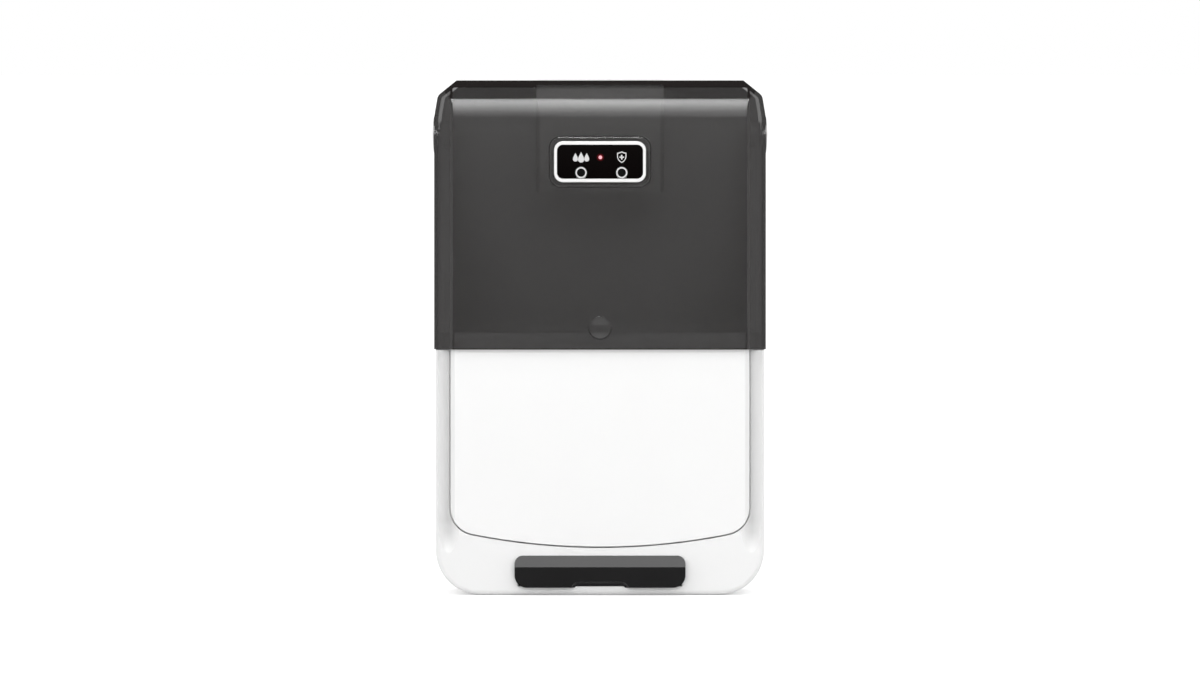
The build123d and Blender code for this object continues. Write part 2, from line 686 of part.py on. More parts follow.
def pivot_cap():
    """The right-hand cap over the hinge pin, a shallow dome on an upright edge."""
    rise = CAP_RISE - CAP_EDGE
    dome_radius = (CAP_RADIUS**2 + rise**2) / (2 * rise)
    dome = Pos(LID_HALF + CAP_RISE - dome_radius, PIVOT_Y, PIVOT_Z) * Sphere(dome_radius)
    edge = rod_x(CAP_RADIUS, (LID_HALF, LID_HALF + CAP_EDGE), PIVOT_Y, PIVOT_Z)
    return rod_x(CAP_RADIUS, (LID_HALF, LID_HALF + CAP_RISE), PIVOT_Y, PIVOT_Z) & (dome + edge)


def hinge_pin():
    """The right-hand hinge pin, fixed in the lid's ear."""
    start = BAY_HALF - HINGE_BOSS_DEPTH
    pin = rod_x(PIN_RADIUS, (start, LID_HALF - PIN_HEAD), PIVOT_Y, PIVOT_Z)
    return pin + rod_x(PIN_HEAD_RADIUS, (LID_HALF - PIN_HEAD, LID_HALF), PIVOT_Y, PIVOT_Z)


def hinge_bush():
    """The right-hand flanged bush in the housing's boss."""
    start = BAY_HALF - HINGE_BOSS_DEPTH
    bush = rod_x(BUSH_RADIUS - PIN_CLEARANCE, (start, COLLAR_HALF), PIVOT_Y, PIVOT_Z)
    bush += rod_x(BUSH_FLANGE_RADIUS, (start - BUSH_FLANGE, start), PIVOT_Y, PIVOT_Z)
    return bush - rod_x(PIN_RADIUS + PIN_CLEARANCE, (0, REACH), PIVOT_Y, PIVOT_Z)


def friction_washer():
    """The right-hand washer between the housing and the lid's ear."""
    washer = rod_x(WASHER_RADIUS, (COLLAR_HALF, COLLAR_HALF + WASHER_THICKNESS), PIVOT_Y, PIVOT_Z)
    return washer - rod_x(PIN_RADIUS + 2 * PIN_CLEARANCE, (0, REACH), PIVOT_Y, PIVOT_Z)


# ---- utensil box ----
def box_hollow():
    """The three compartments as one space, down to the ledge that carries the drain plate."""
    plan = along_z(grown(box_plan_outline(BOX_REAR_Y), -BOX_WALL), (0, HEIGHT))
    tub = block((-REACH, REACH), (TUB_FRONT_Y + BOX_WALL, REACH), (LEDGE_Z, REACH))
    neck = along_y(grown(panel_outline(), -BOX_WALL), (BOX_FRONT_Y, TUB_FRONT_Y + BOX_WALL + 1))
    neck &= block((-REACH, REACH), (-REACH, REACH), (LEDGE_Z + DRAIN_PLATE, REACH))
    above = block((-REACH, REACH), (-REACH, REACH), (BOX_TOP_Z - 2 * BOX_WALL, REACH))
    return plan & (tub + neck + above)


def utensil_box():
    """The lift-out box: a tub in the bay and a neck that carries the U-shaped front panel."""
    tub = block((-REACH, REACH), (TUB_FRONT_Y, REACH), (BOX_BOTTOM_Z, BOX_TOP_Z))
    panel = along_y(panel_outline(), (BOX_FRONT_Y, BOX_FRONT_Y + BOX_WALL))
    neck = along_y(panel_outline(), (BOX_FRONT_Y, TUB_FRONT_Y + 1))
    neck &= block((-REACH, REACH), (-REACH, REACH), (BOX_BOTTOM_Z, BOX_TOP_Z))
    box = along_z(box_plan_outline(BOX_REAR_Y), (0, HEIGHT)) & (tub + neck + panel)
    drop = along_z(grown(box_plan_outline(BOX_REAR_Y), -BOX_WALL - BOX_LEDGE), (0, LEDGE_Z + 1))
    drop &= block((-REACH, REACH), (TUB_FRONT_Y + BOX_WALL + BOX_LEDGE, REACH), (0, REACH))
    return box - box_hollow() - drop + divider_guides()


def divider_guides():
    """Pairs of ribs on the front and rear walls that hold the dividers."""
    low = LEDGE_Z + DRAIN_PLATE + SEAT_GAP
    near = DIVIDER_THICKNESS / 2 + COVER_GAP
    front_y = BOX_FRONT_Y + BOX_WALL
    rear_y = BOX_REAR_Y - BOX_WALL
    ribs = []
    for x in (DIVIDER_X - near - GUIDE_RIB, DIVIDER_X + near):
        for y in ((front_y - 0.5, front_y + GUIDE_RIB), (rear_y - GUIDE_RIB, rear_y + 0.5)):
            ribs.append(block((x, x + GUIDE_RIB), y, (low, DIVIDER_TOP_Z)))
    return both_sides(union(ribs))


def divider(x):
    """One loose divider, which stands on the drain plate between the guides."""
    low = LEDGE_Z + DRAIN_PLATE
    y = (BOX_FRONT_Y + BOX_WALL + COVER_GAP, BOX_REAR_Y - BOX_WALL - COVER_GAP)
    plate = block((x - DIVIDER_THICKNESS / 2, x + DIVIDER_THICKNESS / 2), y, (low, DIVIDER_TOP_Z))
    corners = plate.edges().filter_by(Axis.X).group_by(Axis.Z)[-1]
    return fillet(corners, DIVIDER_CORNER)


def drain_plate():
    """The perforated floor of the utensil box, which rests on the ledge."""
    front_y = TUB_FRONT_Y + BOX_WALL + DRAIN_PLATE_GAP
    plan = grown(box_plan_outline(BOX_REAR_Y), -BOX_WALL - DRAIN_PLATE_GAP)
    plan &= Pos(0, front_y + REACH / 2) * Rectangle(REACH, REACH)
    size = plan.bounding_box().size
    pitch = (
        (size.X - 2 * DRAIN_RIM[0]) / DRAIN_SLOT_COUNT[0],
        (size.Y - 2 * DRAIN_RIM[1]) / DRAIN_SLOT_COUNT[1],
    )
    slot = Rot(0, 0, 90) * SlotOverall(pitch[1] - DRAIN_WEB[1], pitch[0] - DRAIN_WEB[0])
    slots = Pos(0, front_y + size.Y / 2) * spread(slot, GridLocations(*pitch, *DRAIN_SLOT_COUNT))
    return along_z(plan - slots, (LEDGE_Z, LEDGE_Z + DRAIN_PLATE))


# ---- drip tray ----
def tray_front():
    """The tray's front: a leaning lip over an upright face, with round corners."""
    low, top = TRAY_FRONT_Z
    back_y = BODY_FRONT_Y - SEAT_GAP
    side = Polygon(
        (back_y, low),
        (back_y, top),
        (TRAY_FRONT_Y, top - TRAY_LIP_HEIGHT),
        (TRAY_FRONT_Y, low),
        align=None,
    )
    half = TRAY_HALF + TRAY_FRONT_LAP
    outline = mirrored([(half, low), (half, top)])
    outline = fillet(outline.vertices().group_by(Axis.Y)[0], TRAY_BOTTOM_CORNER)
    outline = fillet(outline.vertices().group_by(Axis.Y)[-1], TRAY_TOP_CORNER)
    return along_x(side, (-half, half)) & along_y(outline, (-REACH, REACH))


def finger_scoop():
    """The hollow under the middle of the tray's front that a finger pulls it by."""
    half = SCOOP_WIDTH / 2 - SCOOP_RADIUS
    z = TRAY_FRONT_Z[0] - SCOOP_DROP
    y = TRAY_FRONT_Y - SCOOP_OUT
    scoop = rod_x(SCOOP_RADIUS, (-half, half), y, z)
    return scoop + both_sides(Pos(half, y, z) * Sphere(SCOOP_RADIUS))


def drip_tray():
    back_y = BODY_FRONT_Y - SEAT_GAP
    rear_y = PARTITION_Y - BOX_GAP
    tub = block((-TRAY_HALF, TRAY_HALF), (back_y - 0.5, rear_y), (TRAY_BOTTOM_Z, TRAY_TOP_Z))
    corners = tub.edges().filter_by(Axis.Z).group_by(Axis.Y)[-1]
    tub = fillet(corners, TRAY_CORNER)
    tray = tub + tray_front()
    inner = TRAY_HALF - TRAY_WALL
    room = block(
        (-inner, inner),
        (CHIN_INSIDE_Y, rear_y - TRAY_WALL),
        (TRAY_BOTTOM_Z + TRAY_WALL, TRAY_TOP_Z + 1),
    )
    room = fillet(room.edges().filter_by(Axis.Z), TRAY_CORNER - TRAY_WALL / 2)
    return tray - room - finger_scoop()


# ---- control module ----
def module_form(shrink, low):
    """The module's outside, drawn in by a wall, under the lid's bevel."""
    half = MODULE_HALF - shrink
    box = block((-half, half), (MODULE_FRONT_Y + shrink, MODULE_REAR_Y - shrink), (low, HEIGHT))
    box = fillet(box.edges().filter_by(Axis.Z), MODULE_CORNER - shrink)
    return box & lid_block(LID_WALL + MODULE_FIT + shrink, low, REACH / 2)


def module_corner_spots():
    """Where the module's four screws go, as X and Y."""
    x = MODULE_HALF - MODULE_WALL / 2 - MODULE_BOSS[0]
    y = MODULE_MID_Y - BOARD_Y - BOARD_THICKNESS - MODULE_BOSS[0] - BOARD_GAP
    return [(i * x, MODULE_MID_Y + j * y) for i in (-1, 1) for j in (-1, 1)]


def module_housing():
    shell = module_form(0, MODULE_FLOOR_Z)
    inside = module_form(MODULE_WALL, MODULE_FLOOR_Z - 1)
    window = (RING_SIZE[0] + 2 * TRIM_GAP, RING_SIZE[1] + 2 * TRIM_GAP)
    opening_depth = (-REACH, MODULE_FRONT_Y + MODULE_WALL + 1)
    opening = rounded_plate(window, RING_CORNER, 0, PANEL_CENTRE_Z, opening_depth)
    shell = shell - inside - opening
    post = (MODULE_FLOOR_Z, MODULE_FLOOR_Z + MODULE_BOSS[1])
    shell += union([rod_z(MODULE_BOSS[0], post, x, y) for x, y in module_corner_spots()])
    shell -= union([rod_z(MODULE_SCREW[0], post, x, y) for x, y in module_corner_spots()])
    radius, x, z = BOARD_PEG
    for i in (-1, 1):
        for j in (-1, 1):
            shell += rod_y(radius, (MODULE_FRONT_Y + MODULE_WALL / 2, BOARD_Y), i * x, PANEL_CENTRE_Z + j * z)
    return shell


def module_base():
    """The module's floor, with the fan grille, the lamp window's seat and the port's hole."""
    z = (MODULE_BOTTOM_Z, MODULE_FLOOR_Z)
    base = block((-MODULE_HALF, MODULE_HALF), (MODULE_FRONT_Y, MODULE_REAR_Y), z)
    base = fillet(base.edges().filter_by(Axis.Z), MODULE_CORNER)
    base -= fan_grille()
    through = (MODULE_BOTTOM_Z - 1, MODULE_FLOOR_Z + 1)
    seat = Pos(LAMP_X, MODULE_MID_Y) * Rectangle(*LAMP_WINDOW_SIZE)
    base -= along_z(grown(seat, -LAMP_WINDOW_RIM), through)
    base -= along_z(grown(seat, COVER_GAP), (MODULE_FLOOR_Z - LAMP_WINDOW, MODULE_FLOOR_Z + 1))
    base -= along_z(grown(port_outline(), COVER_GAP), through)
    shank, head, thickness, _ = MODULE_SCREW
    for x, y in module_corner_spots():
        base -= rod_z(shank + COVER_GAP, through, x, y)
        base -= rod_z(head + COVER_GAP, (MODULE_BOTTOM_Z - 1, MODULE_BOTTOM_Z + thickness), x, y)
    for x, y in fan_screw_spots():
        base -= rod_z(FAN_SCREW[0], (MODULE_BOTTOM_Z, MODULE_FLOOR_Z + 1), x, y)
    return base + lamp_posts()


def port_outline():
    """The charging port's outline in the module's floor."""
    place = Pos(0, MODULE_REAR_Y - MODULE_WALL - PORT_INSET)
    return place * SlotOverall(*PORT_SIZE)


def fan_grille():
    """Ring-shaped openings under the fan, crossed by two bars."""
    rings = Sketch()
    radius = FAN_BORE_RADIUS - GRILLE_WEB / 2
    while radius > GRILLE_RING:
        rings += Circle(radius) - Circle(radius - GRILLE_RING)
        radius -= GRILLE_RING + GRILLE_WEB
    bars = Rectangle(2 * FAN_SIZE, GRILLE_WEB) + Rectangle(GRILLE_WEB, 2 * FAN_SIZE)
    plan = Pos(FAN_X, MODULE_MID_Y) * (Rot(0, 0, 45) * (rings - bars))
    return along_z(plan, (MODULE_BOTTOM_Z - 1, MODULE_FLOOR_Z + 1))


def lamp_posts():
    """Four posts that carry the lamp board."""
    radius, inset = LAMP_POST
    x = LAMP_BOARD_SIZE[0] / 2 - inset
    y = LAMP_BOARD_SIZE[1] / 2 - inset
    z = (MODULE_FLOOR_Z - MODULE_BASE / 2, MODULE_FLOOR_Z + LAMP_STANDOFF)
    posts = [rod_z(radius, z, LAMP_X + i * x, MODULE_MID_Y + j * y) for i in (-1, 1) for j in (-1, 1)]
    return union(posts)


def module_screws():
    shank, head, thickness, length = MODULE_SCREW
    one = screw(length, shank, head, thickness)
    seat = MODULE_BOTTOM_Z + thickness
    return Compound([Pos(x, y, seat) * Rot(180, 0, 0) * one for x, y in module_corner_spots()])


def trim_ring():
    """The pale ring round the control panel, which clips the module to the lid's window."""
    seat_y = touch_front_y() + TOUCH_THICKNESS
    y = (LID_FRONT_Y - RING_PROUD, seat_y + TOUCH_LEDGE)
    ring = rounded_plate(RING_SIZE, RING_CORNER, 0, PANEL_CENTRE_Z, y)
    face = ring.faces().sort_by(Axis.Y)[0]
    ring = fillet(face.edges(), 0.7)
    hole = (TOUCH_SIZE[0] + 2 * TRIM_GAP, TOUCH_SIZE[1] + 2 * TRIM_GAP)
    ring -= rounded_plate(hole, TOUCH_CORNER + TRIM_GAP, 0, PANEL_CENTRE_Z, (-REACH, seat_y))
    inner = (TOUCH_SIZE[0] - 2 * TOUCH_LEDGE, TOUCH_SIZE[1] - 2 * TOUCH_LEDGE)
    return ring - rounded_plate(inner, TOUCH_CORNER - TOUCH_LEDGE, 0, PANEL_CENTRE_Z, (-REACH, 0))


def touch_front_y():
    """The front face of the black control panel."""
    return LID_FRONT_Y - RING_PROUD + TOUCH_SUNK


def control_panel():
    """The black panel with holes for the two keys and the lamp's lens."""
    y = (touch_front_y(), touch_front_y() + TOUCH_THICKNESS)
    panel = rounded_plate(TOUCH_SIZE, TOUCH_CORNER, 0, PANEL_CENTRE_Z, y)
    for x in KEY_X:
        panel -= rod_y(KEY_RADIUS + KEY_GAP, (-REACH, 0), x, KEY_Z)
    return panel - rod_y(LENS_RADIUS + LENS_GAP, (-REACH, 0), LENS_X, LENS_Z)


def key(x):
    """One round key: a cap in the panel and a stem towards its switch."""
    front = touch_front_y() - KEY_PROUD
    back = touch_front_y() + TOUCH_THICKNESS - KEY_TRAVEL - SEAT_GAP
    cap = rod_y(KEY_RADIUS, (front, back), x, KEY_Z)
    rim = cap.faces().sort_by(Axis.Y)[0]
    cap = fillet(rim.edges(), 0.3)
    stem_end = BOARD_Y - SWITCH_DEPTH - KEY_TRAVEL - SEAT_GAP
    return cap + rod_y(KEY_STEM_RADIUS, (back, stem_end), x, KEY_Z)


def indicator_lens():
    y = (touch_front_y() - TRIM_GAP, touch_front_y() + TOUCH_THICKNESS)
    lens = rod_y(LENS_RADIUS, y, LENS_X, LENS_Z)
    return fillet(lens.faces().sort_by(Axis.Y)[0].edges(), TRIM_GAP * 0.9)


def main_board():
    """The board behind the panel, on the four pegs."""
    y = (BOARD_Y, BOARD_Y + BOARD_THICKNESS)
    board = rounded_plate(BOARD_SIZE, BOARD_THICKNESS / 2, 0, PANEL_CENTRE_Z, y)
    for x in CHIP_X:
        chip = Box(*CHIP_SIZE, align=(Align.MIN, Align.MIN, Align.CENTER))
        board += Pos(x, y[1], PANEL_CENTRE_Z) * chip
    return board


def key_switches():
    """Two small switches on the board, one behind each key."""
    half = SWITCH_SIZE / 2
    y = (BOARD_Y - SWITCH_DEPTH, BOARD_Y)
    return Compound([block((x - half, x + half), y, (KEY_Z - half, KEY_Z + half)) for x in KEY_X])


def fan_frame():
    """A square axial fan's frame: bore, hub plate on three arms and the rotor's pin."""
    half = FAN_SIZE / 2
    z = (MODULE_FLOOR_Z, MODULE_FLOOR_Z + FAN_HEIGHT)
    frame = block((FAN_X - half, FAN_X + half), (MODULE_MID_Y - half, MODULE_MID_Y + half), z)
    frame = fillet(frame.edges().filter_by(Axis.Z), FAN_CORNER)
    frame -= rod_z(FAN_BORE_RADIUS, z, FAN_X, MODULE_MID_Y)
    for i in (-1, 1):
        for j in (-1, 1):
            spot = (FAN_X + i * FAN_HOLE_PITCH / 2, MODULE_MID_Y + j * FAN_HOLE_PITCH / 2)
            frame -= rod_z(FAN_SCREW[0] + FAN_PIN_CLEARANCE, z, *spot)
    plate = (MODULE_FLOOR_Z, MODULE_FLOOR_Z + FAN_ARM[1])
    reach = FAN_BORE_RADIUS + FAN_ARM[0] / 4
    arm = Rectangle(reach, FAN_ARM[0], align=(Align.MIN, Align.CENTER))
    arms = Circle(FAN_HUB_RADIUS - FAN_ARM[0] / 2) + spread(arm, PolarLocations(0, 3))
    frame += along_z(Pos(FAN_X, MODULE_MID_Y) * arms, plate)
    return frame + rod_z(FAN_PIN[0], (plate[0], plate[1] + FAN_PIN[1]), FAN_X, MODULE_MID_Y)


def fan_rotor():
    """The hub with its leaning blades, which turns on the frame's pin."""
    low = MODULE_FLOOR_Z + FAN_ARM[1] + SEAT_GAP
    height = (low, low + FAN_HUB_HEIGHT)
    blade = Rot(FAN_BLADE_ANGLE, 0, 0) * Box(
        FAN_BORE_RADIUS, FAN_BLADE, FAN_HUB_HEIGHT, align=(Align.MIN, Align.CENTER, Align.CENTER)
    )
    blades = union([spot * blade for spot in PolarLocations(0, FAN_BLADES)])
    blades = Pos(0, 0, low + FAN_HUB_HEIGHT / 2) * blades
    sweep = rod_z(FAN_BORE_RADIUS - FAN_TIP_GAP, height, 0, 0)
    rotor = rod_z(FAN_HUB_RADIUS, height, 0, 0) + (blades & sweep)
    rotor -= rod_z(FAN_PIN[0] + FAN_PIN_CLEARANCE, (low, low + FAN_PIN[1] + SEAT_GAP), 0, 0)
    return Pos(FAN_X, MODULE_MID_Y, 0) * rotor


def fan_screws():
    shank, head, thickness = FAN_SCREW
    one = screw(FAN_HEIGHT + MODULE_BASE * 0.8, shank, head, thickness)
    top = MODULE_FLOOR_Z + FAN_HEIGHT
    return Compound([Pos(x, y, top) * one for x, y in fan_screw_spots()])


def fan_screw_spots():
    """The two opposite corners where the fan is screwed down, as X and Y."""
    half = FAN_HOLE_PITCH / 2
    return [(FAN_X - half, MODULE_MID_Y - half), (FAN_X + half, MODULE_MID_Y + half)]


def uv_board():
    z = (MODULE_FLOOR_Z + LAMP_STANDOFF, MODULE_FLOOR_Z + LAMP_STANDOFF + BOARD_THICKNESS)
    outline = RectangleRounded(*LAMP_BOARD_SIZE, BOARD_THICKNESS / 2)
    return along_z(Pos(LAMP_X, MODULE_MID_Y) * outline, z)


def uv_leds():
    """Three lamp packages under their board."""
    size, height = LAMP_LED
    z = MODULE_FLOOR_Z + LAMP_STANDOFF - height / 2
    spots = [MODULE_MID_Y + i * LAMP_LED_PITCH for i in (-1, 0, 1)]
    return Compound([Pos(LAMP_X, y, z) * Box(size, size, height) for y in spots])


def uv_window():
    z = (MODULE_FLOOR_Z - LAMP_WINDOW, MODULE_FLOOR_Z)
    return along_z(Pos(LAMP_X, MODULE_MID_Y) * Rectangle(*LAMP_WINDOW_SIZE), z)


def cell_y():
    """The cell's axis, close to the module's rear wall."""
    return MODULE_REAR_Y - MODULE_WALL - CELL_RADIUS - SEAT_GAP - HOLDER_WALL


def battery_cell():
    """A cylindrical cell with its small raised pole."""
    half = CELL_LENGTH / 2
    radius, height = CELL_POLE
    cell = rod_x(CELL_RADIUS, (-half, half - height), cell_y(), CELL_Z)
    return cell + rod_x(radius, (half - height, half), cell_y(), CELL_Z)


def battery_holder():
    """The trough that carries the cell on the module's rear wall."""
    inner = CELL_LENGTH / 2 + SEAT_GAP
    half = inner + HOLDER_WALL
    outer = CELL_RADIUS + SEAT_GAP + HOLDER_WALL
    front = cell_y() - CELL_RADIUS / 3
    trough = block((-half, half), (front, MODULE_REAR_Y - MODULE_WALL), (CELL_Z - outer, CELL_Z + outer))
    return trough - rod_x(CELL_RADIUS + SEAT_GAP, (-inner, inner), cell_y(), CELL_Z)


def charging_port():
    """The port's metal shell in the module's floor."""
    low = MODULE_BOTTOM_Z + PORT_SUNK
    high = low + PORT_DEPTH
    shell = along_z(port_outline(), (low, high))
    shell -= along_z(grown(port_outline(), -PORT_WALL), (low, high - 2 * PORT_WALL))
    tongue = Pos(port_outline().center()) * Rectangle(*PORT_TONGUE)
    return shell + along_z(tongue, (low + 2 * PORT_WALL, high))


def left(solid):
    """The left-hand twin of a right-hand piece."""
    return mirror(solid, about=Plane.YZ)


NODES = {
    "housing": housing,
    "hinge_bracket_right": hinge_bracket,
    "hinge_bracket_left": lambda: left(hinge_bracket()),
    "hinge_cowl": hinge_cowl,
    "tray_guide": tray_guide,
    "rear_cover": rear_cover,
    "rear_cover_screws": rear_cover_screws,
    "wall_bracket": wall_bracket,
    "hinge_bush_right": hinge_bush,
    "hinge_bush_left": lambda: left(hinge_bush()),
    "friction_washer_right": friction_washer,
    "friction_washer_left": lambda: left(friction_washer()),
    "lid_shell": lid_shell,
    "hinge_pin_right": hinge_pin,
    "hinge_pin_left": lambda: left(hinge_pin()),
    "pivot_cap_right": pivot_cap,
    "pivot_cap_left": lambda: left(pivot_cap()),
    "module_housing": module_housing,
    "module_base": module_base,
    "module_screws": module_screws,
    "trim_ring": trim_ring,
    "control_panel": control_panel,
    "key_dry": lambda: key(KEY_X[0]),
    "key_sterilize": lambda: key(KEY_X[1]),
    "indicator_lens": indicator_lens,
    "main_board": main_board,
    "key_switches": key_switches,
    "fan_frame": fan_frame,
    "fan_rotor": fan_rotor,
    "fan_screws": fan_screws,
    "uv_board": uv_board,
    "uv_leds": uv_leds,
    "uv_window": uv_window,
    "battery_cell": battery_cell,
    "battery_holder": battery_holder,
    "charging_port": charging_port,
    "utensil_box": utensil_box,
    "divider_left": lambda: divider(-DIVIDER_X),
    "divider_right": lambda: divider(DIVIDER_X),
    "drain_plate": drain_plate,
    "drip_tray": drip_tray,
}

os.makedirs("parts", exist_ok=True)
for name, make in NODES.items():
    export_step(make(), f"parts/{name}.step")
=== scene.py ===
import math

import bmesh
import bpy
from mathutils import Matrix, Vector


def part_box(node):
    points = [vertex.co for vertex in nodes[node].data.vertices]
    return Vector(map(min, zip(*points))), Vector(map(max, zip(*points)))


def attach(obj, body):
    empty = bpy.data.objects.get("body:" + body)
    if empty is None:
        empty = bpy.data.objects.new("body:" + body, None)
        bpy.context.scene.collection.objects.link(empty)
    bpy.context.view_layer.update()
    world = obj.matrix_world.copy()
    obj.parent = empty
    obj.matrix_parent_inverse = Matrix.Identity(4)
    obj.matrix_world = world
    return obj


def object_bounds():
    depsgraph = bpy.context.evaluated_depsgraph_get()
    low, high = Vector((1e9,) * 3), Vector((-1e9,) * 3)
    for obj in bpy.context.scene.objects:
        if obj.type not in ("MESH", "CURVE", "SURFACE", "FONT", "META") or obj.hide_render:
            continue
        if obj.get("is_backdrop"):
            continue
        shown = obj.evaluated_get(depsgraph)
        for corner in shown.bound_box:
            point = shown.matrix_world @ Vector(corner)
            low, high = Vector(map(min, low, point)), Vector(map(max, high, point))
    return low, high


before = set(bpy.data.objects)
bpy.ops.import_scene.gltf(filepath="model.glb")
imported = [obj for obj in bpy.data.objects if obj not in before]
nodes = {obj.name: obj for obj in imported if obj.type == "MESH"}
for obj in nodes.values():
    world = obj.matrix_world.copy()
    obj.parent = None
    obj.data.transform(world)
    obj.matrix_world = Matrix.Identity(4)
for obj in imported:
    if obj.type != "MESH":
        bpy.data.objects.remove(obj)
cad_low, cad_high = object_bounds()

scene = bpy.context.scene


# ---- light levels ----
SOFT_LIGHT = 0.90
OVERHEAD_DARK = 0.15
SCREEN_GLOW = 15.5
FLOOR_GLOW = 0.4
FRONT_POWER = 13.0
SIDE_POWER = 4.0

# ---- the stage, in metres and radians ----
FLOOR_REACH, FLOOR_DROP = 40.0, 0.0002
SCREEN_DISTANCE, SCREEN_HALF, SCREEN_ROWS = 2.2, 0.45, 24
SCREEN_LOW, SCREEN_HIGH = math.radians(-3.9), math.radians(62)

# ---- the camera and the photograph's frame ----
PHOTO_SIZE = (1200, 675)
METRES_PER_PIXEL = 0.0006024
BASE_ROW = 595.3
CAMERA_DISTANCE = 12.0
CAMERA_RISE = math.radians(1.2)
SENSOR = 36.0

# ---- where the lid's plastic is seen edge on, in metres ----
RIM = 0.0010
TOP_EDGE = 0.0042
TOP_SLOPE = 0.3
RIDGE = (0.0111, 0.0097)
FRONT_DEPTH = 0.02
EDGE_DARK = 0.985
FLANK = 0.69
BEVEL_FOOT, BEVEL_CLEAR = 0.2988, 0.14
# The thumb boss's lower rim and the bezel's outline get painted shade from these.
THUMB_HEIGHT, THUMB_RADIUS, THUMB_EDGE = 0.013, 0.0074, 0.0016
BEZEL_HALF, BEZEL_CORNER, BEZEL_LINE = (0.0305, 0.01525), 0.007, 0.00035
BEZEL_DARK = 0.8
FORM_DEPTH = 0.003
# How far the painted glow round the indicator lamp spreads.
HALO = 0.0024
# Centimetres in a metre: a ramp from nought to one then spans 10 mm.
CENTIMETRES = 100.0

# ---- printed marks, in metres ----
PRINT_THICKNESS = 0.00006
KEY_RIM, KEY_RING = 0.0003, 0.0009
MARK_RAISE = 0.0027
DROPS = [(-0.0034, 0.0052), (0.0, 0.0064), (0.0034, 0.0052)]
SHIELD_SIZES = (0.0070, 0.0056)
PLUS_SIZE = (0.0028, 0.0008)

# ---- painted shade in the coves beside the front panel: where it fades, the panel's half width, its reach ----
COVE_ENDS = (0.0275, 0.038)
PANEL_HALF = 0.090
COVE_REACH = 0.006


# ---- material helpers ----
def new_material(name):
    """A node material with its node tree and its shader."""
    material = bpy.data.materials.new(name)
    material.use_nodes = True
    tree = material.node_tree
    return material, tree, tree.nodes["Principled BSDF"]


def add(tree, kind, **inputs):
    """A node of a kind, with values for its input sockets."""
    node = tree.nodes.new(kind)
    for key, value in inputs.items():
        node.inputs[key.replace("_", " ")].default_value = value
    return node


def object_coordinates(tree, stretch=(1, 1, 1)):
    """Object coordinates in metres, stretched along each axis."""
    coordinates = tree.nodes.new("ShaderNodeTexCoord")
    mapping = tree.nodes.new("ShaderNodeMapping")
    mapping.inputs["Scale"].default_value = stretch
    tree.links.new(coordinates.outputs["Object"], mapping.inputs["Vector"])
    return mapping.outputs["Vector"]


def split(tree, output):
    """The X, Y and Z outputs of a texture coordinate."""
    coordinates = tree.nodes.new("ShaderNodeTexCoord")
    parts = tree.nodes.new("ShaderNodeSeparateXYZ")
    tree.links.new(coordinates.outputs[output], parts.inputs["Vector"])
    return parts.outputs


def noise(tree, scale, detail=3.0, stretch=(1, 1, 1)):
    """A noise texture's strength, at so many waves to the metre."""
    texture = add(tree, "ShaderNodeTexNoise", Scale=scale, Detail=detail)
    tree.links.new(object_coordinates(tree, stretch), texture.inputs["Vector"])
    return texture.outputs["Fac"]


def ramp(tree, factor, stops):
    """Colours or greys along a factor."""
    node = tree.nodes.new("ShaderNodeValToRGB")
    elements = node.color_ramp.elements
    while len(elements) < len(stops):
        elements.new(0.5)
    for element, (position, value) in zip(elements, stops):
        element.position = position
        element.color = tuple(value) + (1,) if hasattr(value, "__len__") else (value, value, value, 1)
    tree.links.new(factor, node.inputs["Fac"])
    return node.outputs["Color"]


def spread(colour, amount):
    """Two colours a little darker and lighter than one."""
    return [tuple(min(1.0, channel * (1 + sign * amount)) for channel in colour) for sign in (-1, 1)]


def bump(tree, shader, height, distance, strength=1.0):
    """A small relief on the shader's normal, distance in metres."""
    node = add(tree, "ShaderNodeBump", Strength=strength, Distance=distance)
    tree.links.new(height, node.inputs["Height"])
    tree.links.new(node.outputs["Normal"], shader.inputs["Normal"])


def plastic(name, colour, roughness, grain=0.00001, grain_scale=2500, variation=0.006, specular=0.5):
    """Moulded plastic: nearly even colour, a fine grain and a roughness that drifts."""
    material, tree, shader = new_material(name)
    drift = noise(tree, 14, 2.0)
    low, high = spread(colour, variation)
    tree.links.new(ramp(tree, drift, [(0.3, low), (0.7, high)]), shader.inputs["Base Color"])
    patches = noise(tree, 60, 4.0)
    rough = ramp(tree, patches, [(0.3, roughness * 0.96), (0.7, roughness * 1.04)])
    tree.links.new(rough, shader.inputs["Roughness"])
    shader.inputs["Specular IOR Level"].default_value = specular
    bump(tree, shader, noise(tree, grain_scale, 2.0), grain)
    return material


def metal(name, colour, roughness, stretch=(1, 40, 40), scale=160):
    """Bare metal with fine drawn lines and a few duller patches."""
    material, tree, shader = new_material(name)
    shader.inputs["Metallic"].default_value = 1.0
    lines = noise(tree, scale, 4.0, stretch)
    low, high = spread(colour, 0.1)
    tree.links.new(ramp(tree, lines, [(0.35, low), (0.65, high)]), shader.inputs["Base Color"])
    tree.links.new(
        ramp(tree, lines, [(0.3, roughness * 0.75), (0.7, roughness * 1.3)]), shader.inputs["Roughness"]
    )
    bump(tree, shader, lines, 0.00002, 0.4)
    return material


def math_node(tree, operation, first, second):
    """The result of a sum on two sockets or numbers."""
    node = tree.nodes.new("ShaderNodeMath")
    node.operation = operation
    for socket, value in zip(node.inputs, (first, second)):
        if isinstance(value, bpy.types.NodeSocket):
            tree.links.new(value, socket)
        else:
            socket.default_value = value
    return node.outputs[0]


def between(tree, value, low, high):
    """One where a value lies between two bounds, else nought."""
    above = math_node(tree, "GREATER_THAN", value, low)
    below = math_node(tree, "LESS_THAN", value, high)
    return math_node(tree, "MULTIPLY", above, below)


